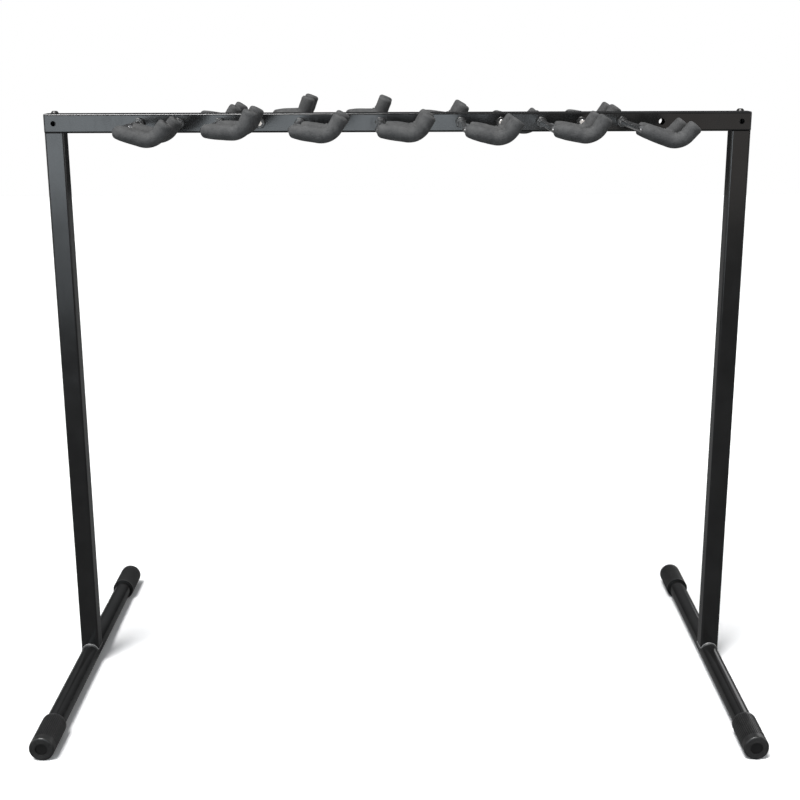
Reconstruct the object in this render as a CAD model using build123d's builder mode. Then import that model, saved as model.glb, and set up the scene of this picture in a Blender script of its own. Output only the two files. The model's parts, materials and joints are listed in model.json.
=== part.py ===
"""Double-sided hanging rack for small guitars: a square-tube beam on two legs, with swivelling neck hooks.

Frame: +X along the beam, -Y towards the front, +Z up. The origin is on the floor, under the
middle of the beam. Lengths are in millimetres and angles in degrees.
"""
from build123d import *
from math import cos, radians, sin, tan
import os

os.makedirs("parts", exist_ok=True)

# Square tube of the beam and the uprights
tube_width = 25
tube_wall = 1.5
tube_corner = 2.5
tube_bore = tube_width - 2 * tube_wall
bore_corner = tube_corner - tube_wall

# Whole rack
beam_top = 785
overall_length = 925
foot_length = 570
slip = 0.05                      # gap between pieces that are pushed together by hand

# Feet
foot_radius = 12.5
foot_wall = 1.5
cap_radius = 16
cap_length = 65
cap_end = 5                      # rubber between the tube's end and the cap's end face
cap_lip = 4                      # smooth ring at the cap's mouth
cap_band = 11                    # smooth ring at the cap's closed end
cap_rounding = 2.5
cap_recess_radius = 8
cap_recess_depth = 1.5
rib_count = 40
rib_groove = 0.65                # radius of the groove between two ribs
weld_size = 2.5

# Beam ends and leg bolts
plug_flange = 2
plug_depth = 6.5
plug_wall = 2
bolt_radius = 3
bolt_length = 40
bolt_head_radius = 5.25
bolt_head_height = 3.3
bolt_dome_middle = (4.44, 1.87)  # on the dome, half way between its rim and its flat top
bolt_top_radius = 3
bolt_socket = 4                  # across the flats of the hexagonal socket
bolt_socket_depth = 2
bolt_hole_radius = 3.3
thread_plug_length = 18
end_hole_radius = 3.5

# Hooks
hole_count = 14
hole_pitch = 52.5
hole_shift = 4.5                 # the row of holes sits a little to the right of the beam's middle
hole_radius = 4.1
rod_radius = 4
near_reach = tube_width / 2 + 158    # rod end's arm, from the middle of the beam
far_reach = tube_width / 2 + 84      # arm nearer the beam
rod_bend = 10
arm_run = 34                     # level part of an arm, from the rod's axis
rise_radius = 20
rise_angle = 68
foam_tip = 15                    # straight foam past the rise
steel_tip = 12.5
foam_radius = 9.75
foam_rounding = 3.5              # rounded rim of each foam tip
foam_bend_angle = 45             # part of the rod's bend that the near arm's foam covers
foam_start = 7                   # the far arm's foam starts past the weld
joint_weld_start = 2             # where the far arm's weld starts, inside the rod
joint_weld_radius = 5.8
nut_across_flats = 13
nut_corner_radius = 7.36         # the corners are turned down a little
nut_thickness = 6.5
nut_chamfer = 1                  # across the face
nut_chamfer_angle = 30
nut_gap = 0.2                    # running gap between a nut and the beam
rod_tail = 3.5                   # thread that stands out past the outer nut

# How far each hook's tips are turned down from level, as the rack stands
front_tilts = [16, 3, 9, 8, 14, 11, 20]
rear_tilts = [10, -2, 0, 8, 20, 12]

# Places worked out from the sizes above
beam_axis = beam_top - tube_width / 2
beam_bottom = beam_top - tube_width
tube_length = overall_length - 2 * plug_flange
leg_x = (overall_length - tube_width) / 2
foot_axis = cap_radius
upright_bottom = foot_axis + 4
hole_xs = [(k - (hole_count - 1) / 2) * hole_pitch + hole_shift for k in range(hole_count)]
front_xs = hole_xs[0::2]
rear_xs = hole_xs[1::2]          # the last one stays an open hole, with no hook
sides = {"left": -1, "right": 1}
across = Plane(origin=(0, 0, beam_axis), x_dir=(1, 0, 0), z_dir=(0, -1, 0))


def save(piece, name):
    """Label a finished piece and write its STEP file."""
    piece.part.label = name
    export_step(piece.part, f"parts/{name}.step")


# ---------------------------------------------------------------- beam

with BuildPart() as beam:
    with BuildSketch(Plane(origin=(-tube_length / 2, 0, beam_axis), x_dir=(0, 1, 0), z_dir=(1, 0, 0))):
        RectangleRounded(tube_width, tube_width, tube_corner)
        RectangleRounded(tube_bore, tube_bore, bore_corner, mode=Mode.SUBTRACT)
    extrude(amount=tube_length)
    with BuildSketch(across):
        with Locations([(x, 0) for x in hole_xs]):
            Circle(hole_radius)
        with Locations((-leg_x, 0), (leg_x, 0)):
            Circle(end_hole_radius)
    extrude(amount=tube_width, both=True, mode=Mode.SUBTRACT)
    with BuildSketch(Plane.XY.offset(beam_axis)):
        with Locations((-leg_x, 0), (leg_x, 0)):
            Circle(bolt_hole_radius)
    extrude(amount=tube_width, both=True, mode=Mode.SUBTRACT)
save(beam, "beam")


def make_end_plug(side):
    """Make the plastic plug in one end of the beam: a flange and a short hollow square body."""
    tube_end = Plane(origin=(side * tube_length / 2, 0, beam_axis), x_dir=(0, side, 0), z_dir=(side, 0, 0))
    with BuildPart() as plug:
        with BuildSketch(tube_end):
            RectangleRounded(tube_width, tube_width, tube_corner)
        extrude(amount=plug_flange)
        outer_face = plug.faces().sort_by(Axis.X)[-1 if side > 0 else 0]
        fillet(outer_face.edges(), radius=plug_flange / 2)
        body_width = tube_bore - 2 * slip
        with BuildSketch(tube_end):
            RectangleRounded(body_width, body_width, bore_corner)
            hollow_width = body_width - 2 * plug_wall
            Rectangle(hollow_width, hollow_width, mode=Mode.SUBTRACT)
        extrude(amount=-plug_depth)
    return plug


# ---------------------------------------------------------------- legs

def make_upright(x):
    """Make a square-tube upright, its lower end coped to sit on the round foot tube."""
    with BuildPart() as upright:
        with BuildSketch(Plane(origin=(x, 0, upright_bottom))):
            RectangleRounded(tube_width, tube_width, tube_corner)
            RectangleRounded(tube_bore, tube_bore, bore_corner, mode=Mode.SUBTRACT)
        extrude(amount=beam_bottom - upright_bottom)
        with BuildSketch(Plane(origin=(x, 0, foot_axis), x_dir=(1, 0, 0), z_dir=(0, -1, 0))):
            Circle(foot_radius + slip)
        extrude(amount=tube_width, both=True, mode=Mode.SUBTRACT)
    return upright


def make_thread_plug(x):
    """Make the tapped steel block pressed into an upright's top, which the leg bolt screws into."""
    block_width = tube_bore - 2 * slip
    with BuildPart() as block:
        with BuildSketch(Plane(origin=(x, 0, beam_bottom - thread_plug_length))):
            RectangleRounded(block_width, block_width, bore_corner)
            Circle(bolt_radius + slip, mode=Mode.SUBTRACT)
        extrude(amount=thread_plug_length)
    return block


def make_foot_tube(x):
    """Make the round foot tube, running from front to back inside its two end caps."""
    with BuildPart() as foot:
        with BuildSketch(Plane(origin=(x, 0, foot_axis), x_dir=(1, 0, 0), z_dir=(0, -1, 0))):
            Circle(foot_radius)
            Circle(foot_radius - foot_wall, mode=Mode.SUBTRACT)
        extrude(amount=foot_length / 2 - cap_end, both=True)
    return foot


def make_foot_weld(x):
    """Make the weld bead round the joint: the metal within one bead's width of both tubes."""
    bead_width = tube_width + 2 * weld_size
    with BuildPart() as bead:
        with BuildSketch(Plane(origin=(x, 0, foot_axis), x_dir=(1, 0, 0), z_dir=(0, -1, 0))):
            Circle(foot_radius + weld_size)
            Circle(foot_radius, mode=Mode.SUBTRACT)
        extrude(amount=bead_width, both=True)
        with BuildSketch(Plane(origin=(x, 0, upright_bottom))):
            RectangleRounded(bead_width, bead_width, tube_corner + weld_size)
            RectangleRounded(tube_width, tube_width, tube_corner, mode=Mode.SUBTRACT)
        extrude(amount=foot_radius + weld_size, mode=Mode.INTERSECT)
    return bead


def make_foot_cap():
    """Make one rubber cap, open end at z = 0: smooth lip, ribbed grip and rounded closed end."""
    with BuildPart() as cap:
        with BuildSketch():
            Circle(cap_radius)
        extrude(amount=cap_length)
        fillet(cap.faces().sort_by(Axis.Z)[-1].edges(), radius=cap_rounding)
        with BuildSketch(Plane.XY.offset(cap_lip)):
            with PolarLocations(cap_radius, rib_count):
                Circle(rib_groove)
        extrude(amount=cap_length - cap_lip - cap_band, mode=Mode.SUBTRACT)
        with BuildSketch():
            Circle(foot_radius + slip)
        extrude(amount=cap_length - cap_end, mode=Mode.SUBTRACT)
        with BuildSketch(Plane.XY.offset(cap_length - cap_recess_depth)):
            Circle(cap_recess_radius)
        extrude(amount=cap_recess_depth, mode=Mode.SUBTRACT)
    return cap


def make_leg_bolts():
    """Make the two domed socket-head bolts that hold the beam down on the uprights."""
    with BuildPart() as bolts:
        with BuildSketch(Plane.XZ):
            with BuildLine():
                Line((0, -bolt_length), (bolt_radius, -bolt_length))
                Line((bolt_radius, -bolt_length), (bolt_radius, 0))
                Line((bolt_radius, 0), (bolt_head_radius, 0))
                dome_end = (bolt_top_radius, bolt_head_height)
                ThreePointArc((bolt_head_radius, 0), bolt_dome_middle, dome_end)
                Line(dome_end, (0, bolt_head_height))
                Line((0, bolt_head_height), (0, -bolt_length))
            make_face()
        revolve(axis=Axis.Z)
        with BuildSketch(Plane.XY.offset(bolt_head_height)):
            RegularPolygon(bolt_socket / 2, 6, major_radius=False)
        extrude(amount=-bolt_socket_depth, mode=Mode.SUBTRACT)
    with BuildPart() as pair:
        with Locations((-leg_x, 0, beam_top), (leg_x, 0, beam_top)):
            add(bolts.part)
    return pair


foot_cap = make_foot_cap()
for side_name, side in sides.items():
    save(make_end_plug(side), f"{side_name}_beam_plug")
    save(make_upright(side * leg_x), f"{side_name}_upright")
    save(make_thread_plug(side * leg_x), f"{side_name}_thread_plug")
    save(make_foot_tube(side * leg_x), f"{side_name}_foot_tube")
    save(make_foot_weld(side * leg_x), f"{side_name}_foot_weld")
    for end_name, end in {"front": -1, "rear": 1}.items():
        mouth = (side * leg_x, end * (foot_length / 2 - cap_length), foot_axis)
        with BuildPart() as placed_cap:
            with Locations(Location(mouth, (-90 * end, 0, 0))):
                add(foot_cap.part)
        save(placed_cap, f"{side_name}_{end_name}_cap")
save(make_leg_bolts(), "leg_bolts")


# ---------------------------------------------------------------- hooks
# A hook is drawn on the beam's centre line, with its rod towards the front and its arms along +X.

def draw_arm(start, reach, tip):
    """Draw an arm's centre line from start: the level run, the rise and the straight tip."""
    rise = radians(rise_angle)
    rise_start = Vector(arm_run, -reach, 0)
    rise_end = rise_start + Vector(sin(rise), 0, 1 - cos(rise)) * rise_radius
    tip_end = rise_end + Vector(cos(rise), 0, sin(rise)) * tip
    Line(start, rise_start)
    TangentArc(rise_start, rise_end, tangent=(1, 0, 0))
    Line(rise_end, tip_end)


def make_yoke():
    """Make the steel yoke: a rod bent into the near arm, and the far arm welded to its side."""
    tail = tube_width / 2 + nut_gap + nut_thickness + rod_tail
    bend_start = (0, -near_reach + rod_bend, 0)
    bend_end = (rod_bend, -near_reach, 0)
    with BuildPart() as yoke:
        with BuildLine() as near_line:
            Line((0, tail, 0), bend_start)
            TangentArc(bend_start, bend_end, tangent=(0, -1, 0))
            draw_arm(bend_end, near_reach, steel_tip)
        with BuildSketch(Plane(origin=(0, tail, 0), z_dir=(0, -1, 0))):
            Circle(rod_radius)
        sweep(path=near_line.line)
        with BuildLine() as far_line:
            draw_arm((0, -far_reach, 0), far_reach, steel_tip)
        with BuildSketch(Plane(origin=(0, -far_reach, 0), z_dir=(1, 0, 0))):
            Circle(rod_radius)
        sweep(path=far_line.line)
        weld_middle = ((joint_weld_start + foam_start) / 2, -far_reach, 0)
        with Locations(Location(weld_middle, (0, 90, 0))):
            Cone(joint_weld_radius, rod_radius, foam_start - joint_weld_start)
    return yoke


def make_sleeves():
    """Make the two foam sleeves: the near one starts on the rod's bend, the far one at the weld."""
    uncovered = radians(90 - foam_bend_angle)
    heading = Vector(sin(uncovered), -cos(uncovered), 0)
    bend_middle = Vector(rod_bend, -near_reach + rod_bend, 0)
    bend_start = bend_middle - Vector(cos(uncovered), sin(uncovered), 0) * rod_bend
    bend_end = (rod_bend, -near_reach, 0)
    with BuildPart() as sleeves:
        with BuildLine() as near_line:
            TangentArc(bend_start, bend_end, tangent=heading)
            draw_arm(bend_end, near_reach, foam_tip)
        with BuildSketch(Plane(origin=bend_start, z_dir=heading)):
            Circle(foam_radius)
            Circle(rod_radius + slip, mode=Mode.SUBTRACT)
        sweep(path=near_line.line)
        with BuildLine() as far_line:
            draw_arm((foam_start, -far_reach, 0), far_reach, foam_tip)
        with BuildSketch(Plane(origin=(foam_start, -far_reach, 0), z_dir=(1, 0, 0))):
            Circle(foam_radius)
            Circle(rod_radius + slip, mode=Mode.SUBTRACT)
        sweep(path=far_line.line)
        tip_faces = sleeves.faces().filter_by(GeomType.PLANE).sort_by(Axis.Z)[-2:]
        tip_rims = [edge for face in tip_faces for edge in face.outer_wire().edges()]
        fillet(tip_rims, radius=foam_rounding)
    return sleeves


def make_nuts():
    """Make the two nuts that hold a hook's rod in the beam, one on each face of the tube."""
    nut_middle = (tube_width + nut_thickness) / 2 + nut_gap
    with BuildPart() as blank:
        Cylinder(nut_corner_radius, nut_thickness, rotation=(90, 0, 0))
        chamfer_depth = nut_chamfer * tan(radians(nut_chamfer_angle))
        chamfer(blank.edges().filter_by(GeomType.CIRCLE), length=chamfer_depth, length2=nut_chamfer)
    with BuildPart() as nut:
        with BuildSketch(Plane.XZ):
            RegularPolygon(nut_across_flats / 2, 6, major_radius=False)
        extrude(amount=nut_thickness / 2, both=True)
        add(blank.part, mode=Mode.INTERSECT)
        with BuildSketch(Plane.XZ):
            Circle(rod_radius + slip)
        extrude(amount=nut_thickness, both=True, mode=Mode.SUBTRACT)
    with BuildPart() as pair:
        with Locations((0, -nut_middle, 0), (0, nut_middle, 0)):
            add(nut.part)
    return pair


def mirrored(piece):
    """Return a hook piece mirrored to the beam's rear side, its arms still along +X."""
    with BuildPart() as other:
        mirror(piece.part, about=Plane.XZ, mode=Mode.ADD)
    return other


front_pieces = {"yoke": make_yoke(), "sleeves": make_sleeves(), "nuts": make_nuts()}
rear_pieces = {name: mirrored(piece) for name, piece in front_pieces.items()}
rows = [("front", front_pieces, front_xs, front_tilts), ("rear", rear_pieces, rear_xs, rear_tilts)]
for row, pieces, xs, tilts in rows:
    for number, (x, tilt) in enumerate(zip(xs, tilts), start=1):
        for name, piece in pieces.items():
            with BuildPart() as placed:
                with Locations(Location((x, 0, beam_axis), (0, tilt, 0))):
                    add(piece.part)
            save(placed, f"{row}_hook_{number}_{name}")
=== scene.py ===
import bpy
import json
import math
import numpy as np
from mathutils import Matrix, Vector


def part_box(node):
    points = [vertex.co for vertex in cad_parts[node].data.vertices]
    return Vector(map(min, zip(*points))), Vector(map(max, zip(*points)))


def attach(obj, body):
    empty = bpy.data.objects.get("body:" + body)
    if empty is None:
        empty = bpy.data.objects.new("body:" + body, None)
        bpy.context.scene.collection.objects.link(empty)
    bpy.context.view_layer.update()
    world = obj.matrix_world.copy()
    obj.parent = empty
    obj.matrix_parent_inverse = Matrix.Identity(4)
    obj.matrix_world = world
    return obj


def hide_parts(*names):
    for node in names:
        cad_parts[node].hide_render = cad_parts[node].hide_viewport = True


# The visual model of a double-sided guitar rack, built round the CAD parts of its frame.

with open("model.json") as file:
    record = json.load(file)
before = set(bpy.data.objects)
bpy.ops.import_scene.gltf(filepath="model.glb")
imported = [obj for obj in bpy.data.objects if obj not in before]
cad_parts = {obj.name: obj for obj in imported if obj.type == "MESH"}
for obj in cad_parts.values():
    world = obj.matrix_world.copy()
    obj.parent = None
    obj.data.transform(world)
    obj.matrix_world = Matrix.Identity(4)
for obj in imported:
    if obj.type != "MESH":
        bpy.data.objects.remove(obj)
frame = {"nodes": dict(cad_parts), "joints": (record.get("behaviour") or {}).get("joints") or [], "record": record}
bpy.context.view_layer.update()
MM = 0.001

# ---------------------------------------------------------------- sizes, in metres

# The hook's sizes, as the frame's own yokes and sleeves have them
ROD_RADIUS = 4 * MM
ROD_BEND = 10 * MM               # radius of the bend from the rod into the near arm
ARM_RUN = 34 * MM                # from the rod's axis to where an arm starts to rise
RISE_RADIUS = 20 * MM
RISE_ANGLE = math.radians(68)
STEEL_TIP = 12.5 * MM            # straight steel after the rise
FOAM_TIP = 15 * MM               # straight foam after the rise
FOAM_RADIUS = 9.75 * MM
FOAM_BEND_ANGLE = math.radians(45)   # how much of the rod's bend the near sleeve covers
FOAM_START = 7 * MM              # from the rod's axis to the far sleeve's start

BEAM_LOW, BEAM_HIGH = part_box("beam")
BEAM_AXIS = (BEAM_LOW.z + BEAM_HIGH.z) / 2
TUBE_WIDTH = BEAM_HIGH.z - BEAM_LOW.z
HOLE_BAND = 5 * MM               # the beam's holes all lie within this height of its axis
CAP_BAND = 11 * MM               # the smooth ring at a rubber cap's closed end
CAP_RECESS = 8 * MM              # radius of the recess in its end
CAP_RECESS_DEPTH = 2 * MM


# ---------------------------------------------------------------- materials

class Nodes:
    """A small helper that adds and links shader nodes in one material. On a part that moves, the
    texture is laid out on the part itself, so that it turns with it."""

    def __init__(self, name, moves=False):
        self.material = bpy.data.materials.new(name)
        self.material.use_nodes = True
        self.tree = self.material.node_tree
        self.shader = self.tree.nodes["Principled BSDF"]
        geometry = self.add("ShaderNodeNewGeometry").outputs
        self.position = geometry["Position"]
        self.normal = geometry["Normal"]
        self.pointiness = geometry["Pointiness"]
        self.layout = self.add("ShaderNodeTexCoord").outputs["Object"] if moves else self.position

    def add(self, kind, **settings):
        """Add a node of one kind."""
        node = self.tree.nodes.new(kind)
        for key, value in settings.items():
            setattr(node, key, value)
        return node

    def link(self, source, target):
        """Link two sockets."""
        self.tree.links.new(source, target)

    def put(self, value, target):
        """Link a socket, or set a plain value."""
        if isinstance(value, bpy.types.NodeSocket):
            self.link(value, target)
        else:
            target.default_value = value

    def noise(self, scale, detail=2.0, roughness=0.5, vector=None):
        """Noise at scale features per metre, from 0 to 1."""
        node = self.add("ShaderNodeTexNoise")
        node.inputs["Scale"].default_value = scale
        node.inputs["Detail"].default_value = detail
        node.inputs["Roughness"].default_value = roughness
        self.link(vector or self.layout, node.inputs["Vector"])
        return node.outputs["Fac"]

    def cells(self, scale):
        """Distance to the nearest cell point, at scale cells per metre."""
        node = self.add("ShaderNodeTexVoronoi")
        node.inputs["Scale"].default_value = scale
        self.link(self.layout, node.inputs["Vector"])
        return node.outputs["Distance"]

    def axis(self, vector, name):
        """One coordinate of a vector."""
        node = self.add("ShaderNodeSeparateXYZ")
        self.link(vector, node.inputs["Vector"])
        return node.outputs[name]

    def stretched(self, scale):
        """The position, scaled by a different amount on each axis."""
        node = self.add("ShaderNodeVectorMath", operation="MULTIPLY")
        self.link(self.position, node.inputs[0])
        node.inputs[1].default_value = scale
        return node.outputs["Vector"]

    def span(self, value, low, high, to_low, to_high):
        """Map a range to another, clamped."""
        node = self.add("ShaderNodeMapRange")
        self.put(value, node.inputs["Value"])
        node.inputs["From Min"].default_value = low
        node.inputs["From Max"].default_value = high
        node.inputs["To Min"].default_value = to_low
        node.inputs["To Max"].default_value = to_high
        return node.outputs["Result"]

    def math(self, operation, a, b=0.0):
        """One calculation on two values, or on the first alone."""
        node = self.add("ShaderNodeMath", operation=operation)
        self.put(a, node.inputs[0])
        self.put(b, node.inputs[1])
        return node.outputs["Value"]

    def mix(self, factor, a, b):
        """Mix two colours."""
        node = self.add("ShaderNodeMix", data_type="RGBA")
        self.put(factor, node.inputs["Factor"])
        self.put(a, node.inputs[6])
        self.put(b, node.inputs[7])
        return node.outputs[2]

    def bump(self, height, distance, strength=1.0, below=None):
        """Bump of a given height in metres, on top of another."""
        node = self.add("ShaderNodeBump")
        node.inputs["Strength"].default_value = strength
        node.inputs["Distance"].default_value = distance
        self.link(height, node.inputs["Height"])
        if below is not None:
            self.link(below, node.inputs["Normal"])
        return node.outputs["Normal"]

    def finish(self, colour, roughness, normal, metallic=0.0, specular=0.5):
        """Link what varies over the surface, set what doesn't, and give the material."""
        self.link(colour, self.shader.inputs["Base Color"])
        self.link(roughness, self.shader.inputs["Roughness"])
        self.link(normal, self.shader.inputs["Normal"])
        self.put(metallic, self.shader.inputs["Metallic"])
        self.shader.inputs["Specular IOR Level"].default_value = specular
        return self.material


def grey(level, warmth=0.0):
    """A grey, a little redder and less blue with more warmth."""
    return (level * (1 + warmth), level, level * (1 - warmth), 1.0)


def edge_wear(n, low, high):
    """Convex edges, from 0 on flat faces to 1 on the sharpest edges."""
    return n.span(n.pointiness, low, high, 0.0, 1.0)


def make_powder_coat(name, bare_holes=False):
    """Satin black powder coat: orange peel, a few dull patches, fine dust and slightly rubbed edges."""
    n = Nodes(name)
    peel = n.noise(900, detail=1.5)
    grain = n.noise(5200, detail=1.0)
    patches = n.noise(26, detail=4.0, roughness=0.6)
    scuffs = n.noise(60, detail=5.0, roughness=0.7, vector=n.stretched((1.0, 1.0, 0.25)))
    colour = n.mix(n.span(patches, 0.35, 0.7, 0.0, 1.0), grey(0.008), grey(0.012))
    specks = n.span(n.cells(1600), 0.0, 0.10, 1.0, 0.0)
    colour = n.mix(n.math("MULTIPLY", specks, 0.08), colour, grey(0.10))
    roughness = n.math("ADD", n.span(patches, 0.3, 0.7, 0.13, 0.19), n.span(scuffs, 0.55, 0.8, 0.0, 0.12))
    metal = 0.0
    if bare_holes:
        metal = hole_wall_mask(n)
        colour = n.mix(metal, colour, grey(0.42, 0.02))
        roughness = n.math("ADD", n.math("MULTIPLY", metal, -0.10), roughness)
    normal = n.bump(peel, 0.022 * MM, strength=0.5)
    normal = n.bump(grain, 0.004 * MM, strength=0.5, below=normal)
    return n.finish(colour, roughness, normal, metallic=metal, specular=0.45)


def hole_wall_mask(n):
    """The walls of the holes drilled through the beam's front and rear faces."""
    height = n.math("ABSOLUTE", n.math("SUBTRACT", n.axis(n.position, "Z"), BEAM_AXIS))
    near_axis = n.math("LESS_THAN", height, HOLE_BAND)
    sideways = n.math("LESS_THAN", n.math("ABSOLUTE", n.axis(n.normal, "Y")), 0.5)
    return n.math("MULTIPLY", near_axis, sideways)


def make_foam(name):
    """Closed-cell foam: matt, a fine skin of tiny cells, slight mottling and a few pits."""
    n = Nodes(name, moves=True)
    mottle = n.noise(110, detail=5.0, roughness=0.7)
    cells = n.cells(2600)
    pits = n.span(n.cells(420), 0.0, 0.16, 0.0, 1.0)
    soft = n.noise(230, detail=4.0, roughness=0.6)
    colour = n.mix(n.span(mottle, 0.34, 0.66, 0.0, 1.0), grey(0.070, -0.01), grey(0.112))
    colour = n.mix(n.span(cells, 0.1, 0.6, 0.35, 0.0), colour, grey(0.030))
    colour = n.mix(n.span(soft, 0.30, 0.46, 0.40, 0.0), colour, grey(0.030))
    roughness = n.span(mottle, 0.3, 0.7, 0.62, 0.78)
    normal = n.bump(soft, 0.45 * MM, strength=0.8)
    normal = n.bump(cells, 0.06 * MM, strength=0.7, below=normal)
    normal = n.bump(pits, 0.10 * MM, strength=0.35, below=normal)
    return n.finish(colour, roughness, normal, specular=0.25)


def make_zinc(name):
    """Bright zinc plate on drawn rod: soft clouding, fine draw lines and light cream sawn ends, partly a painted
    reflection.
    """
    n = Nodes(name, moves=True)
    cloud = n.noise(180, detail=4.0, roughness=0.6)
    lines = n.noise(2600, detail=2.0, roughness=0.6)
    colour = n.mix(n.span(cloud, 0.3, 0.7, 0.0, 1.0), grey(0.48, -0.01), grey(0.66, 0.01))
    roughness = n.span(cloud, 0.3, 0.75, 0.14, 0.28)
    # The sawn ends: bare metal, light cream partly as their own colour and partly as a painted reflection of the
    # front lights.
    cut = cut_end_and_glint_mask(n)
    colour = n.mix(cut, colour, grey(0.80, 0.07))
    roughness = n.math("ADD", n.math("MULTIPLY", cut, 0.30), roughness)
    normal = n.bump(lines, 0.012 * MM, strength=0.5)
    metal = n.math("SUBTRACT", 1.0, n.math("MULTIPLY", cut, 0.75))
    return n.finish(colour, roughness, normal, metallic=metal)


def cut_end_and_glint_mask(n):
    """The sawn end of a rod, next to the beam: bare metal, painted light cream partly as its own colour and partly
    as a painted reflection.
    """
    beside_beam = n.math("LESS_THAN", n.math("ABSOLUTE", n.axis(n.position, "Y")), TUBE_WIDTH)
    endways = n.math("GREATER_THAN", n.math("ABSOLUTE", n.axis(n.normal, "Y")), 0.9)
    return n.math("MULTIPLY", beside_beam, endways)


def make_black_steel(name):
    """Black-oxide fasteners: dark, a little oily, lighter where edges have rubbed."""
    n = Nodes(name, moves=True)
    cloud = n.noise(420, detail=4.0, roughness=0.6)
    rub = n.math("MULTIPLY", edge_wear(n, 0.52, 0.60), n.span(n.noise(900), 0.35, 0.65, 0.2, 1.0))
    colour = n.mix(n.span(cloud, 0.3, 0.7, 0.0, 1.0), grey(0.018), grey(0.038, 0.02))
    colour = n.mix(n.math("MULTIPLY", rub, 0.5), colour, grey(0.30, 0.02))
    roughness = n.span(cloud, 0.3, 0.7, 0.30, 0.46)
    normal = n.bump(n.noise(3200, detail=2.0), 0.01 * MM, strength=0.6)
    return n.finish(colour, roughness, normal, metallic=0.85)


def make_plain_steel(name):
    """Turned steel, dull."""
    n = Nodes(name)
    cloud = n.noise(300, detail=3.0)
    colour = n.mix(cloud, grey(0.36), grey(0.52, 0.02))
    normal = n.bump(n.noise(2600), 0.02 * MM, strength=0.6)
    return n.finish(colour, n.span(cloud, 0.3, 0.7, 0.30, 0.45), normal, metallic=1.0)


def make_rubber(name):
    """Moulded rubber: semi-matt, with a faint bloom, fine mould texture and painted shade in the cap's hollows."""
    n = Nodes(name)
    bloom = n.noise(90, detail=5.0, roughness=0.65)
    texture = n.noise(2400, detail=3.0)
    scuff = n.math("MULTIPLY", edge_wear(n, 0.51, 0.58), n.span(n.noise(500), 0.4, 0.7, 0.0, 1.0))
    colour = n.mix(n.span(bloom, 0.35, 0.7, 0.0, 1.0), grey(0.012), grey(0.022, 0.01))
    colour = n.mix(n.math("MULTIPLY", scuff, 0.4), colour, grey(0.09))
    # Painted shade: the rib grooves and the end recess are darkened to near black.
    colour = n.mix(cap_hollow_painted_shade_mask(n), colour, grey(0.001))
    roughness = n.span(bloom, 0.3, 0.7, 0.28, 0.42)
    normal = n.bump(texture, 0.02 * MM, strength=0.5)
    return n.finish(colour, roughness, normal)


def cap_hollow_painted_shade_mask(n):
    """Painted shade: the grooves between a cap's ribs and the recess in its end, painted near black where little
    light gets in.
    """
    tube_low, tube_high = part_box("left_foot_tube")
    cap_low, cap_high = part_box("left_front_cap")
    cap_radius = cap_high.z / 2
    cap_end = -cap_low.y
    tube_x = abs(tube_low.x + tube_high.x) / 2
    tube_z = (tube_low.z + tube_high.z) / 2
    across = n.math("SUBTRACT", n.math("ABSOLUTE", n.axis(n.position, "X")), tube_x)
    above = n.math("SUBTRACT", n.axis(n.position, "Z"), tube_z)
    radius = n.math("SQRT", n.math("ADD", n.math("POWER", across, 2.0), n.math("POWER", above, 2.0)))
    along = n.math("ABSOLUTE", n.axis(n.position, "Y"))
    in_grip = n.math("LESS_THAN", along, cap_end - CAP_BAND)
    under_ribs = n.span(radius, cap_radius - 0.45 * MM, cap_radius - 0.05 * MM, 0.85, 0.0)
    groove = n.math("MULTIPLY", in_grip, under_ribs)
    at_end = n.math("GREATER_THAN", along, cap_end - CAP_RECESS_DEPTH)
    in_recess = n.span(radius, CAP_RECESS - 0.5 * MM, CAP_RECESS + 0.2 * MM, 0.8, 0.0)
    recess = n.math("MULTIPLY", at_end, in_recess)
    return n.math("ADD", groove, recess)


def make_plastic(name):
    """Moulded black plastic with a fine even grain."""
    n = Nodes(name)
    grain = n.cells(3000)
    cloud = n.noise(60, detail=3.0)
    colour = n.mix(cloud, grey(0.014), grey(0.022))
    normal = n.bump(grain, 0.03 * MM, strength=0.5)
    return n.finish(colour, n.span(cloud, 0.3, 0.7, 0.44, 0.54), normal)


def make_weld(name):
    """A weld bead under powder coat, with a light line along its crest: partly the coat rubbed thin, partly a
    painted highlight.
    """
    n = Nodes(name)
    crest = n.add("ShaderNodeAttribute", attribute_name="crest").outputs["Fac"]
    wear_and_highlight = n.math("MULTIPLY", crest, n.span(n.noise(700, detail=3.0), 0.3, 0.6, 0.3, 1.0))
    cloud = n.noise(300, detail=4.0)
    colour = n.mix(cloud, grey(0.012), grey(0.020))
    # The crest's light line: part wear of the coat, part painted highlight.
    colour = n.mix(wear_and_highlight, colour, grey(0.75))
    normal = n.bump(n.noise(1400, detail=3.0), 0.06 * MM, strength=0.7)
    return n.finish(colour, n.span(cloud, 0.3, 0.7, 0.32, 0.44), normal)


MATERIALS = {
    "black_powder_coat": make_powder_coat("powder_coat_black"),
    "beam_coat": make_powder_coat("powder_coat_black_beam", bare_holes=True),
    "zinc_steel": make_zinc("zinc_plated_steel"),
    "black_steel": make_black_steel("black_oxide_steel"),
    "plain_steel": make_plain_steel("turned_steel"),
    "foam": make_foam("foam_dark_grey"),
    "cap_rubber": make_rubber("rubber_black"),
    "black_plastic": make_plastic("plastic_black"),
    "weld": make_weld("coated_weld"),
}


def dress_cad_nodes():
    """Give every CAD node the detailed material of its slot."""
    for part in frame["record"]["subparts"]:
        node = frame["nodes"][part["node"]]
        name = "beam_coat" if part["node"] == "beam" else part["material_slot"]
        for slot in node.material_slots:
            slot.material = MATERIALS[name]


# ---------------------------------------------------------------- shape helpers

# Rods, sleeves and their weld are drawn as rings of points, each joined to the next.

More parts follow.
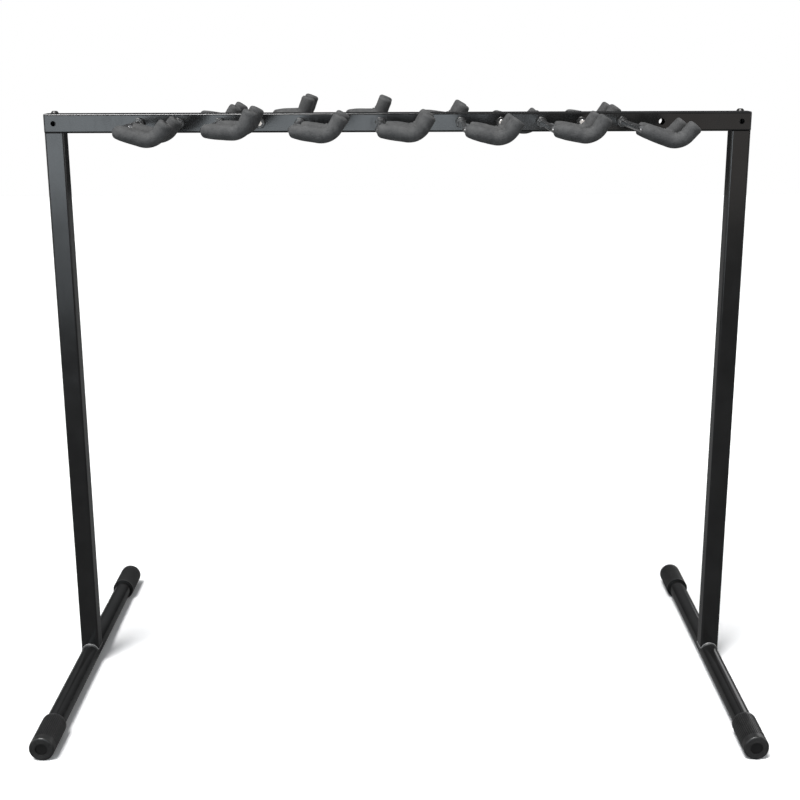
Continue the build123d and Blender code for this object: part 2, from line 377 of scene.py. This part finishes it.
ARC_STEPS = 6                    # the fewest samples round an arc
CENTIMETRES = 100                # in a metre
PHASES = 6.28                    # random phases go up to this, in radians
WAVE_GAIN = 1.6                  # brings the sum of several waves up to about 1


def circle(sides):
    """Even angles round a ring, from 0."""
    return [2 * math.pi * k / sides for k in range(sides)]


def add_rings(points, faces, rings):
    """Add a run of rings to a mesh's points and faces."""
    sides = len(rings[0])
    first = len(points)
    for r in range(len(rings) - 1):
        near = first + r * sides
        far = near + sides
        for c in range(sides):
            d = (c + 1) % sides
            faces.append((near + c, near + d, far + d, far + c))
    for ring_points in rings:
        points.extend(ring_points)


def add_to_scene(name, data):
    """Make an object of some data and put it in the scene."""
    thing = bpy.data.objects.new(name, data)
    bpy.context.scene.collection.objects.link(thing)
    return thing


def make_piece(name, points, faces, material):
    """Make a smooth-shaded mesh object from points and faces."""
    mesh = bpy.data.meshes.new(name)
    mesh.from_pydata([tuple(p) for p in points], [], faces)
    mesh.materials.append(MATERIALS[material])
    mesh.update()
    mesh.polygons.foreach_set("use_smooth", [True] * len(mesh.polygons))
    return add_to_scene(name, mesh)


class Path:
    """A planar path of straight runs and arcs, sampled evenly, with a frame at each sample."""

    def __init__(self, start, heading, plane_up, spacing):
        self.points = [Vector(start)]
        self.tangents = [Vector(heading)]
        self.ups = [Vector(plane_up)]
        self.lengths = [0.0]
        self.spacing = spacing

    def step(self, point, tangent, up, length):
        """Add one sample, a length further on."""
        self.points.append(point)
        self.tangents.append(tangent)
        self.ups.append(up)
        self.lengths.append(self.lengths[-1] + length)

    def run(self, distance):
        """Go straight on."""
        start, tangent, up = self.points[-1], self.tangents[-1], self.ups[-1]
        count = max(1, round(distance / self.spacing))
        for i in range(1, count + 1):
            point = start + tangent * distance * i / count
            self.step(point, tangent.copy(), up.copy(), distance / count)

    def turn(self, radius, angle, towards):
        """Turn by an angle towards a direction across the path."""
        start, tangent, up = self.points[-1], self.tangents[-1], self.ups[-1]
        inward = Vector(towards)
        axis = tangent.cross(inward)
        centre = start + inward * radius
        count = max(ARC_STEPS, round(radius * angle / self.spacing))
        for i in range(1, count + 1):
            turned = Matrix.Rotation(angle * i / count, 3, axis)
            point = centre + turned @ (start - centre)
            self.step(point, turned @ tangent, turned @ up, radius * angle / count)

    def rise(self, tip):
        """Bend up at an arm's end and go on to its tip."""
        self.turn(RISE_RADIUS, RISE_ANGLE, (0, 0, 1))
        self.run(tip)


# The paths of a front hook are drawn in its own frame: its rod along Y, its arms along +X.

def near_foam_path(reach, spacing):
    """The near sleeve's line: the last part of the rod's bend, along +X, up the rise."""
    uncovered = math.pi / 2 - FOAM_BEND_ANGLE
    inward = Vector((math.cos(uncovered), math.sin(uncovered), 0))
    start = Vector((ROD_BEND, ROD_BEND - reach, 0)) - inward * ROD_BEND
    path = Path(start, (inward.y, -inward.x, 0), (0, 0, 1), spacing)
    path.turn(ROD_BEND, FOAM_BEND_ANGLE, inward)
    path.run(ARM_RUN - ROD_BEND)
    path.rise(FOAM_TIP)
    return path


def near_arm_path(reach, spacing, start_y):
    """The near arm's line: along the rod towards -Y, round the bend, along +X, up the rise."""
    path = Path((0, start_y, 0), (0, -1, 0), (0, 0, 1), spacing)
    path.run(start_y + reach - ROD_BEND)
    path.turn(ROD_BEND, math.pi / 2, (1, 0, 0))
    path.run(ARM_RUN - ROD_BEND)
    path.rise(STEEL_TIP)
    return path


def far_arm_path(reach, spacing, tip, start_x):
    """The far arm's line, or its sleeve's: from the rod along +X, then up the rise."""
    path = Path((start_x, -reach, 0), (1, 0, 0), (0, 0, 1), spacing)
    path.run(ARM_RUN - start_x)
    path.rise(tip)
    return path


def ring(path, i, radii, angles):
    """Points round sample i of a path. Angle 0 is the path's up direction."""
    side = path.tangents[i].cross(path.ups[i])
    return [
        path.points[i] + path.ups[i] * (r * math.cos(a)) + side * (r * math.sin(a))
        for r, a in zip(radii, angles)
    ]


def smooth_noise(rng, fineness, count):
    """Random low waves over a length in metres and an angle: a function of both, about -1 to 1."""
    waves = []
    for _ in range(count):
        height = rng.uniform(0.4, 1.0)
        along_rate = rng.uniform(0.5, 2.5) * fineness
        angle_rate = rng.integers(0, 4)
        along_phase = rng.uniform(0, PHASES)
        angle_phase = rng.uniform(0, PHASES)
        waves.append((height, along_rate, angle_rate, along_phase, angle_phase))
    total = sum(wave[0] for wave in waves)

    def value(along, angle):
        level = 0
        for height, along_rate, angle_rate, along_phase, angle_phase in waves:
            lengthways = math.sin(along_rate * along * CENTIMETRES + along_phase)
            level += height * lengthways * math.cos(angle_rate * angle + angle_phase)
        return level / total * WAVE_GAIN

    return value


def hook_matrix(joint):
    """Where a hook's own frame is: at its swivel, tilted by the middle of its range."""
    tilt = -math.radians(sum(joint["range_deg"]) / 2)
    return Matrix.Translation(joint["pos_m"]) @ Matrix.Rotation(tilt, 4, "Y")


def make_hook_piece(name, joint, points, faces, material):
    """Make a piece drawn for a front hook, in its own hook's place. Rear hooks are mirrored."""
    mirrored = joint["child"].startswith("rear")
    side = -1 if mirrored else 1
    matrix = hook_matrix(joint)
    placed = [matrix @ Vector((p[0], side * p[1], p[2])) for p in points]
    if mirrored:
        faces = [tuple(reversed(f)) for f in faces]
    return make_piece(name, placed, faces, material)


# ---------------------------------------------------------------- foam sleeves

SLEEVE_SIDES = 56
SLEEVE_SPACING = 1.1 * MM
SKIN_SLACK = 0.30 * MM           # how far the skin lies inside the sleeve's full radius
DENT_DEPTH = 0.26 * MM
RIPPLE_DEPTH = 0.09 * MM
START_ROUND = 3.4 * MM           # rounding of a sleeve's start
TIP_FOAM_ROUND = 3.8 * MM        # rounding of a sleeve's tip
START_TAPER = 1.1 * MM           # the foam is a little thinner where it is pulled on
START_TAPER_LENGTH = 9 * MM
ROUND_STEPS = 7                  # rings round a rounded edge
BORE_DEPTH = 9 * MM              # how far the sleeve's hole is modelled in from each end
BORE_RADIUS = ROD_RADIUS + 0.05 * MM
BORE_LIP = 0.35 * MM             # the hole's edge is opened out by this much
BORE_LIP_DEPTH = 0.5 * MM
BORE_LIP_SINK = 0.12 * MM        # how far the opened edge lies behind the cut face
FACE_SHARES = (0.25, 0.5, 0.75)  # rings on the cut face, from the hole to the rounding
FACE_DISH = 0.10 * MM            # the cut face sinks by this much at its edges
FACE_ARCH = 3.1                  # nearly half a turn, so it is highest half-way out
FACE_RIPPLE = 0.06 * MM
FACE_RIPPLE_SPAN = 10 * MM       # the length of ripple that it takes
BEND_CREASE_PLACE = 0.62         # share of the way along the covered bend
BEND_CREASE_WIDTH = 1.6 * MM
BEND_CREASE_DEPTH = 0.8 * MM
BEND_CREASE_SPREAD = 3           # a higher spread keeps a crease nearer the bend's inner side
RISE_CREASES = (                 # share of the way up the rise, and depth
    (0.20, 0.6 * MM),
    (0.50, 1.15 * MM),
    (0.80, 0.7 * MM),
)
RISE_CREASE_WIDTH = 1.7 * MM
RISE_CREASE_SPREAD = 4
CREASE_SHIFT = 0.05              # a crease is moved at random by up to this share of the rise
CREASE_DEPTHS = (0.8, 1.2)       # and its depth is varied between these
UP = 0.0                         # directions round a sleeve: the rise's inner side
BEND_INSIDE = -math.pi / 2       # and the rod bend's inner side


def sleeve_rings(path, rng, creases):
    """One foam sleeve: a skin with soft dents and creases, rounded cut ends and a short bore at each."""
    angles = circle(SLEEVE_SIDES)
    dents = smooth_noise(rng, fineness=0.8, count=7)
    ripple = smooth_noise(rng, fineness=2.6, count=6)
    last = len(path.points) - 1

    def skin_radii(i):
        along = path.lengths[i]
        radii = []
        for a in angles:
            r = FOAM_RADIUS - SKIN_SLACK + DENT_DEPTH * dents(along, a) + RIPPLE_DEPTH * ripple(along, a)
            r -= START_TAPER * math.exp(-((along / START_TAPER_LENGTH) ** 2))
            for place, width, depth, direction, spread in creases:
                facing = math.cos(a - direction)
                if facing > 0:
                    near = math.exp(-(((along - place) / width) ** 2))
                    r -= depth * near * facing**spread
            radii.append(r)
        return radii

    def end_rings(i, outward, rounding):
        """Rings of one end, from inside the bore over the cut face to the skin."""
        skin = skin_radii(i)
        mean = sum(skin) / len(skin)
        push = path.tangents[i] * outward
        profile = [
            ([BORE_RADIUS] * SLEEVE_SIDES, -BORE_DEPTH),
            ([BORE_RADIUS] * SLEEVE_SIDES, -BORE_LIP_DEPTH),
            ([BORE_RADIUS + BORE_LIP] * SLEEVE_SIDES, -BORE_LIP_SINK),
        ]
        for share in FACE_SHARES:
            r = BORE_RADIUS + (mean - rounding - BORE_RADIUS) * share
            radii = [r + FACE_RIPPLE * ripple(share * FACE_RIPPLE_SPAN, a) for a in angles]
            profile.append((radii, FACE_DISH * math.sin(share * FACE_ARCH) - FACE_DISH))
        for step in range(ROUND_STEPS + 1):
            t = step / ROUND_STEPS * math.pi / 2
            radii = [r - rounding * (1 - math.sin(t)) for r in skin]
            profile.append((radii, -rounding * (1 - math.cos(t))))
        return [[p + push * shift for p in ring(path, i, radii, angles)] for radii, shift in profile]

    first_clear = math.ceil(START_ROUND / SLEEVE_SPACING) + 1
    last_clear = last - math.ceil(TIP_FOAM_ROUND / SLEEVE_SPACING)
    rings = end_rings(0, -1, START_ROUND)
    rings += [ring(path, i, skin_radii(i), angles) for i in range(first_clear, last_clear)]
    rings += reversed(end_rings(last, 1, TIP_FOAM_ROUND))
    return rings


def rise_creases(rng, rise_start):
    """Creases on the inner side of the rise: (place along, width, depth, direction, spread)."""
    creases = []
    for share, depth in RISE_CREASES:
        place = rise_start + RISE_RADIUS * RISE_ANGLE * (share + rng.uniform(-CREASE_SHIFT, CREASE_SHIFT))
        varied = depth * rng.uniform(*CREASE_DEPTHS)
        creases.append((place, RISE_CREASE_WIDTH, varied, UP, RISE_CREASE_SPREAD))
    return creases


def make_sleeves(hook, joint, reaches, seed):
    """Both foam sleeves of a hook, as one padded piece."""
    rng = np.random.default_rng(seed)
    near_reach, far_reach = reaches
    near = near_foam_path(near_reach, SLEEVE_SPACING)
    far = far_arm_path(far_reach, SLEEVE_SPACING, FOAM_TIP, FOAM_START)
    bend_length = ROD_BEND * FOAM_BEND_ANGLE
    bend_place = bend_length * BEND_CREASE_PLACE
    near_creases = [(bend_place, BEND_CREASE_WIDTH, BEND_CREASE_DEPTH, BEND_INSIDE, BEND_CREASE_SPREAD)]
    near_creases += rise_creases(rng, bend_length + ARM_RUN - ROD_BEND)
    far_creases = rise_creases(rng, ARM_RUN - FOAM_START)
    points, faces = [], []
    add_rings(points, faces, sleeve_rings(near, rng, near_creases))
    add_rings(points, faces, sleeve_rings(far, rng, far_creases))
    piece = make_hook_piece(f"{hook}_foam", joint, points, faces, "foam")
    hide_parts(f"{hook}_sleeves")
    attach(piece, hook)


# ---------------------------------------------------------------- yokes

ROD_SIDES = 32
ROD_SPACING = 1.6 * MM
THREAD_PITCH = 1.25 * MM
THREAD_DEPTH = 0.62 * MM
THREAD_FLANKS = 1.15             # over 1, so that the groove is narrower than the pitch
THREAD_STEPS = 8                 # rings in one turn of thread
THREAD_LENGTH = 51 * MM
ROD_CHAMFER = 0.8 * MM
TIP_ROUND = 0.8 * MM
TIP_STEPS = 4                    # rings round the tip's rounded edge
TIP_FACE_SHARES = (0.66, 0.33, 0.02)   # rings on the tip's flat face, going in
TAIL_FACE_SHARES = (0.02, 0.4, 0.8)    # rings on the threaded end's face, going out
ARM_START = 1 * MM               # from the rod's axis, so inside the rod
WELD_SIDES = 40
WELD_STEPS = 9
WELD_RIPPLES = 15
WELD_RIPPLE_DEPTH = 0.055        # as a share of the weld's crown
WELD_TWIST = 2.2 * math.pi       # how far a ripple leans from the rod to the arm
WELD_SINK = 0.25 * MM            # how far its edge lies inside the rod
WELD_TOE = (5.4 * MM, 3.6 * MM)  # half its length and height where it meets the rod
WELD_CROWN = (5.1 * MM, 4.7 * MM)   # and the same for the curve's middle control points
WELD_CROWN_X = 3.9 * MM
WELD_END_X = 6.3 * MM            # where it meets the arm's skin
WELD_END_SHARE = 0.98            # of the arm's radius


def rod_rings(path):
    """A round rod along a path, closed at its tip with a rounded edge."""
    angles = circle(ROD_SIDES)
    last = len(path.points) - 1
    rings = [ring(path, i, [ROD_RADIUS] * ROD_SIDES, angles) for i in range(last)]
    for step in range(1, TIP_STEPS + 1):
        t = step / TIP_STEPS * math.pi / 2
        r = ROD_RADIUS - TIP_ROUND * (1 - math.cos(t))
        push = path.tangents[last] * TIP_ROUND * (math.sin(t) - 1)
        rings.append([p + push for p in ring(path, last, [r] * ROD_SIDES, angles)])
    for share in TIP_FACE_SHARES:
        rings.append(ring(path, last, [(ROD_RADIUS - TIP_ROUND) * share] * ROD_SIDES, angles))
    return rings


def thread_rings(tail_y, steps):
    """The rod's threaded end, from the middle of its end face: its rings carry one helical groove."""
    angles = circle(ROD_SIDES)
    path = Path((0, tail_y, 0), (0, -1, 0), (0, 0, 1), THREAD_PITCH / THREAD_STEPS)
    path.run(steps * path.spacing)
    rings = []
    for share in TAIL_FACE_SHARES:
        rings.append(ring(path, 0, [(ROD_RADIUS - ROD_CHAMFER) * share] * ROD_SIDES, angles))
    for i, along in enumerate(path.lengths):
        chamfer = max(0.0, ROD_CHAMFER - along)
        fade = min(1.0, max(0.0, (THREAD_LENGTH - along) / (2 * THREAD_PITCH)))
        radii = []
        for a in angles:
            phase = (along / THREAD_PITCH - a / (2 * math.pi)) % 1.0
            groove = 1 - min(1.0, abs(phase - 0.5) * 2 * THREAD_FLANKS)
            radii.append(min(ROD_RADIUS - THREAD_DEPTH * groove * fade, ROD_RADIUS - chamfer))
        rings.append(ring(path, i, radii, angles))
    return rings


def near_arm_rings(tail_y, reach):
    """The threaded rod and, bent out of it, the near arm."""
    steps = int(THREAD_LENGTH / THREAD_PITCH * THREAD_STEPS)
    start_y = tail_y - (steps + 1) * THREAD_PITCH / THREAD_STEPS
    return thread_rings(tail_y, steps) + rod_rings(near_arm_path(reach, ROD_SPACING, start_y))


def weld_rings(reach):
    """A rippled collar from the rod's skin to the far arm's skin."""
    rings = []
    for step in range(WELD_STEPS):
        t = step / (WELD_STEPS - 1)
        ring_points = []
        for a in circle(WELD_SIDES):
            ripple = 0.5 + 0.5 * math.cos(a * WELD_RIPPLES + WELD_TWIST * t)
            toe_z = WELD_TOE[1] * math.cos(a)
            toe_x = math.sqrt(ROD_RADIUS**2 - toe_z**2) - WELD_SINK
            toe = Vector((toe_x, WELD_TOE[0] * math.sin(a), toe_z))
            crown = Vector((WELD_CROWN_X, WELD_CROWN[0] * math.sin(a), WELD_CROWN[1] * math.cos(a)))
            crown.yz = crown.yz * (1 + WELD_RIPPLE_DEPTH * ripple)
            end_radius = ROD_RADIUS * WELD_END_SHARE
            end = Vector((WELD_END_X, end_radius * math.sin(a), end_radius * math.cos(a)))
            point = toe * (1 - t) ** 2 + crown * 2 * t * (1 - t) + end * t**2
            ring_points.append(Vector((point.x, point.y - reach, point.z)))
        rings.append(ring_points)
    return rings


def make_yoke(hook, joint, reaches, tail_y):
    """A hook's rod with its rolled thread and bent near arm, the far arm, and the weld between them."""
    near_reach, far_reach = reaches
    far_arm = far_arm_path(far_reach, ROD_SPACING, STEEL_TIP, ARM_START)
    points, faces = [], []
    add_rings(points, faces, near_arm_rings(tail_y, near_reach))
    add_rings(points, faces, rod_rings(far_arm))
    add_rings(points, faces, weld_rings(far_reach))
    piece = make_hook_piece(f"{hook}_rod", joint, points, faces, "zinc_steel")
    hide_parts(f"{hook}_yoke")
    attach(piece, hook)


def make_hooks():
    """Every hook's sleeves and yoke, with its reach and tail read from the frame."""
    for seed, joint in enumerate(frame["joints"]):
        hook = joint["child"]
        low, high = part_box(f"{hook}_sleeves")
        rod_low, rod_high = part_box(f"{hook}_yoke")
        outermost = max(abs(low.y), abs(high.y))
        innermost = min(abs(low.y), abs(high.y))
        reaches = (outermost - FOAM_RADIUS, innermost + FOAM_RADIUS)
        tail_y = min(abs(rod_low.y), abs(rod_high.y))
        make_sleeves(hook, joint, reaches, seed)
        make_yoke(hook, joint, reaches, tail_y)


# ---------------------------------------------------------------- foot welds

BEAD_STEPS = 220                 # sections round the tube
BEAD_SIDES = 12                  # points across one section
BEAD_PITCH = 2.3 * MM            # from one ripple to the next
BEAD_LEG = 2.4 * MM
BEAD_RIPPLE = 0.10               # share by which a ripple swells the bead
BEAD_WANDER = 0.05               # share by which its size wanders, and how fast round the tube
BEAD_WANDER_RATE = 40
BEAD_BULGE = 0.55                # how far it bulges between its edges, as a share of its leg
BEAD_BULGE_OUT = 0.5             # how much of the bulge goes outwards
BEAD_BULGE_UP = 0.2              # and how much upwards
BEAD_SIDE_HEIGHT = 4.3 * MM      # height of its root over the foot tube's axis, beside the tube
BEAD_SIDE_DROP = 0.35            # and of its lower edge there, as a share of that
BEAD_SINK = 0.25 * MM            # how far its edges lie inside the tubes
BEAD_REACH = 0.995               # it goes no further out than this share of the foot tube's radius
CREST_PLACE = 0.12               # the light line along it, part thin coat and part painted highlight, as shares of the way across a section
CREST_WIDTH = 0.10
CREST_WEAR_AND_HIGHLIGHT = 0.9
TUBE_CORNER = 2.5 * MM           # rounding of the square tube


def tube_outline(share):
    """A point on the square tube's outline and its outward normal, for a share of the way round."""
    half = TUBE_WIDTH / 2
    flat = half - TUBE_CORNER
    side_length = 2 * flat
    corner_length = TUBE_CORNER * math.pi / 2
    along = (share % 1.0) * 4 * (side_length + corner_length)
    quarter, rest = divmod(along, side_length + corner_length)
    if rest < side_length:
        point, normal = Vector((half, -flat + rest, 0)), Vector((1, 0, 0))
    else:
        a = (rest - side_length) / TUBE_CORNER
        normal = Vector((math.cos(a), math.sin(a), 0))
        point = Vector((flat, flat, 0)) + normal * TUBE_CORNER
    turned = Matrix.Rotation(quarter * math.pi / 2, 3, "Z")
    return turned @ point, turned @ normal


def bead_section(share, radius):
    """One section across a foot weld, from its edge on the upright down to its edge on the foot tube."""
    perimeter = 4 * (TUBE_WIDTH - 2 * TUBE_CORNER + TUBE_CORNER * math.pi / 2)
    place, normal = tube_outline(share)
    ripple = (share * perimeter / BEAD_PITCH) % 1.0
    swell = 1 + BEAD_RIPPLE * math.sin(ripple * math.pi) + BEAD_WANDER * math.sin(share * BEAD_WANDER_RATE)
    leg = BEAD_LEG * swell
    seat = math.sqrt(max(0.0, radius**2 - place.x**2))
    top = Vector((place.x, place.y, max(seat, BEAD_SIDE_HEIGHT) + leg))
    reach = place + normal * leg
    reach_x = min(abs(reach.x), radius * BEAD_REACH)
    foot_z = math.sqrt(radius**2 - reach_x**2)
    across = abs(normal.x)
    low_z = foot_z * (1 - across) + min(foot_z, BEAD_SIDE_HEIGHT * BEAD_SIDE_DROP) * across
    low = Vector((math.copysign(math.sqrt(radius**2 - low_z**2), place.x), reach.y, low_z))
    bulge = BEAD_BULGE * leg
    middle = (top + low) / 2 + normal * bulge * BEAD_BULGE_OUT + Vector((0, 0, bulge * BEAD_BULGE_UP))
    section = []
    for k in range(BEAD_SIDES):
        t = k / (BEAD_SIDES - 1)
        section.append(top * (1 - t) ** 2 + middle * 2 * t * (1 - t) + low * t**2)
    section[0] -= normal * BEAD_SINK
    section[-1].z -= BEAD_SINK
    return section


def make_foot_weld(side):
    """The weld bead round an upright's foot: a rippled fillet that follows the saddle joint."""
    foot_low, foot_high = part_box(f"{side}_foot_tube")
    radius = (foot_high.z - foot_low.z) / 2
    centre = Vector(((foot_low.x + foot_high.x) / 2, 0, (foot_low.z + foot_high.z) / 2))
    # How light each point across a section is painted: part wear, part painted highlight.
    crest_wear_and_highlight = [
        CREST_WEAR_AND_HIGHLIGHT * max(0.0, 1 - abs(k / (BEAD_SIDES - 1) - CREST_PLACE) / CREST_WIDTH)
        for k in range(BEAD_SIDES)
    ]
    points, faces = [], []
    for i in range(BEAD_STEPS):
        points += [centre + point for point in bead_section(i / BEAD_STEPS, radius)]
        here = i * BEAD_SIDES
        following = (i + 1) % BEAD_STEPS * BEAD_SIDES
        for k in range(BEAD_SIDES - 1):
            faces.append((here + k, here + k + 1, following + k + 1, following + k))
    piece = make_piece(f"{side}_weld_bead", points, faces, "weld")
    layer = piece.data.attributes.new("crest", "FLOAT", "POINT")
    layer.data.foreach_set("value", crest_wear_and_highlight * BEAD_STEPS)
    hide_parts(f"{side}_foot_weld")
    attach(piece, "frame")


# ---------------------------------------------------------------- room, lights and camera

FLOOR_SIZE = 12.0
FLOOR_PALE = 0.95
FLOOR_BOUNCE = 0.13              # how much of its light the pale floor throws back on the rack
CAMERA_PLACE = (0.010, -1.777, 0.8754)
CAMERA_PITCH = 74.83             # degrees up from straight down
CAMERA_YAW = 0.25
CAMERA_ROLL = -0.22
CAMERA_LENS = 59.6               # for a 36 mm sensor
SENSOR_WIDTH = 36
HORIZON_LIGHT = 0.04             # the dim room that the rack is lit by, level with it
OVERHEAD_LIGHT = 0.30            # and above it
HORIZON_TOP = 0.05               # a direction's rise up to which the room is at its dimmest
OVERHEAD_START = 0.7             # and the rise from which it is at its lightest
PAPER_LIGHT = 1.0                # the white paper behind it
KEY_LIGHT = 3.9                  # watts per square metre
KEY_SPREAD = 22                  # degrees
KEY_FROM = (-0.24, -0.42, 1.0)

WHITE = (1, 1, 1)
COOL = (0.86, 0.94, 1.0)
WARM = (1.0, 0.92, 0.87)
ROOM_TINT = (0.95, 0.97, 1, 1)
PAPER_TINT = (1, 1, 1, 1)
PANELS = (                       # name, place, what it points at, width and height, watts, colour
    ("front_left", (-0.65, -2.5, 0.70), (-0.20, 0, 0.75), (2.0, 0.6), 17, COOL),
    ("front_low", (-0.65, -2.5, 0.22), (-0.20, 0, 0.50), (2.0, 0.36), 3.4, COOL),
    ("front_right", (1.0, -2.4, 0.70), (0.2, 0, 0.75), (1.2, 0.7), 1.9, WARM),
    ("rear_right", (2.0, 2.0, 1.1), (0, 0, 0.5), (1.4, 1.4), 9, WHITE),
    ("rear_left", (-2.6, 0.8, 1.2), (0, 0, 0.5), (0.8, 1.4), 6, WHITE),
    ("side_left", (-2.6, -0.1, 0.7), (0, 0, 0.5), (1.8, 1.3), 9, WHITE),
    ("side_right", (2.6, -0.1, 0.7), (0, 0, 0.5), (1.8, 1.3), 9, WHITE),
)


def aim(light, direction):
    """Turn a light to shine along a direction."""
    light.rotation_mode = "QUATERNION"
    light.rotation_quaternion = direction.to_track_quat("-Z", "Y")


def make_floor():
    """A plain pale floor. It looks paper-white but throws back little light, like paper in a dim room."""
    mesh = bpy.data.meshes.new("floor")
    half = FLOOR_SIZE / 2
    corners = [(-half, -half, 0), (half, -half, 0), (half, half, 0), (-half, half, 0)]
    mesh.from_pydata(corners, [], [(0, 1, 2, 3)])
    floor = add_to_scene("floor", mesh)
    material = bpy.data.materials.new("floor_pale")
    material.use_nodes = True
    nodes, links = material.node_tree.nodes, material.node_tree.links
    seen = nodes.new("ShaderNodeLightPath")
    shade = nodes.new("ShaderNodeMix")
    shade.data_type = "RGBA"
    shade.inputs[6].default_value = grey(FLOOR_BOUNCE)
    shade.inputs[7].default_value = grey(FLOOR_PALE)
    links.new(seen.outputs["Is Camera Ray"], shade.inputs["Factor"])
    shader = nodes["Principled BSDF"]
    links.new(shade.outputs[2], shader.inputs["Base Color"])
    shader.inputs["Roughness"].default_value = 0.9
    shader.inputs["Specular IOR Level"].default_value = 0.0
    mesh.materials.append(material)


def make_world():
    """A dim room, lighter overhead, that lights the rack, with white paper where the camera looks."""
    world = bpy.data.worlds.new("studio")
    bpy.context.scene.world = world
    world.use_nodes = True
    nodes, links = world.node_tree.nodes, world.node_tree.links
    direction = nodes.new("ShaderNodeTexCoord")
    split = nodes.new("ShaderNodeSeparateXYZ")
    links.new(direction.outputs["Generated"], split.inputs[0])
    height = nodes.new("ShaderNodeMapRange")
    height.interpolation_type = "SMOOTHSTEP"
    links.new(split.outputs["Z"], height.inputs["Value"])
    height.inputs["From Min"].default_value = HORIZON_TOP
    height.inputs["From Max"].default_value = OVERHEAD_START
    height.inputs["To Min"].default_value = HORIZON_LIGHT
    height.inputs["To Max"].default_value = OVERHEAD_LIGHT
    room = nodes["Background"]
    room.inputs["Color"].default_value = ROOM_TINT
    links.new(height.outputs["Result"], room.inputs["Strength"])
    paper = nodes.new("ShaderNodeBackground")
    paper.inputs["Color"].default_value = PAPER_TINT
    paper.inputs["Strength"].default_value = PAPER_LIGHT
    seen = nodes.new("ShaderNodeLightPath")
    blend = nodes.new("ShaderNodeMixShader")
    links.new(seen.outputs["Is Camera Ray"], blend.inputs[0])
    links.new(room.outputs[0], blend.inputs[1])
    links.new(paper.outputs[0], blend.inputs[2])
    links.new(blend.outputs[0], nodes["World Output"].inputs["Surface"])


def make_key():
    """A broad soft key light from above and in front."""
    data = bpy.data.lights.new("key", "SUN")
    data.energy = KEY_LIGHT
    data.angle = math.radians(KEY_SPREAD)
    aim(add_to_scene("key", data), -Vector(KEY_FROM))


def make_panel(name, place, target, size, power, colour):
    """A soft rectangular light."""
    data = bpy.data.lights.new(name, "AREA")
    data.shape = "RECTANGLE"
    data.size, data.size_y = size
    data.energy = power
    data.color = colour
    light = add_to_scene(name, data)
    light.location = place
    aim(light, Vector(target) - Vector(place))
    light.visible_camera = False


def make_camera():
    """A camera where the photograph was taken from."""
    data = bpy.data.cameras.new("camera")
    data.lens = CAMERA_LENS
    data.sensor_width = SENSOR_WIDTH
    camera = add_to_scene("camera", data)
    turn = (
        Matrix.Rotation(math.radians(CAMERA_YAW), 4, "Z")
        @ Matrix.Rotation(math.radians(CAMERA_PITCH), 4, "X")
        @ Matrix.Rotation(math.radians(CAMERA_ROLL), 4, "Z")
    )
    camera.matrix_world = Matrix.Translation(CAMERA_PLACE) @ turn
    bpy.context.scene.camera = camera


make_camera()
make_floor()
make_world()
make_key()
for panel in PANELS:
    make_panel(*panel)
dress_cad_nodes()
make_hooks()
for side in ("left", "right"):
    make_foot_weld(side)

bpy.context.scene.view_settings.view_transform = "Standard"
bpy.context.view_layer.update()
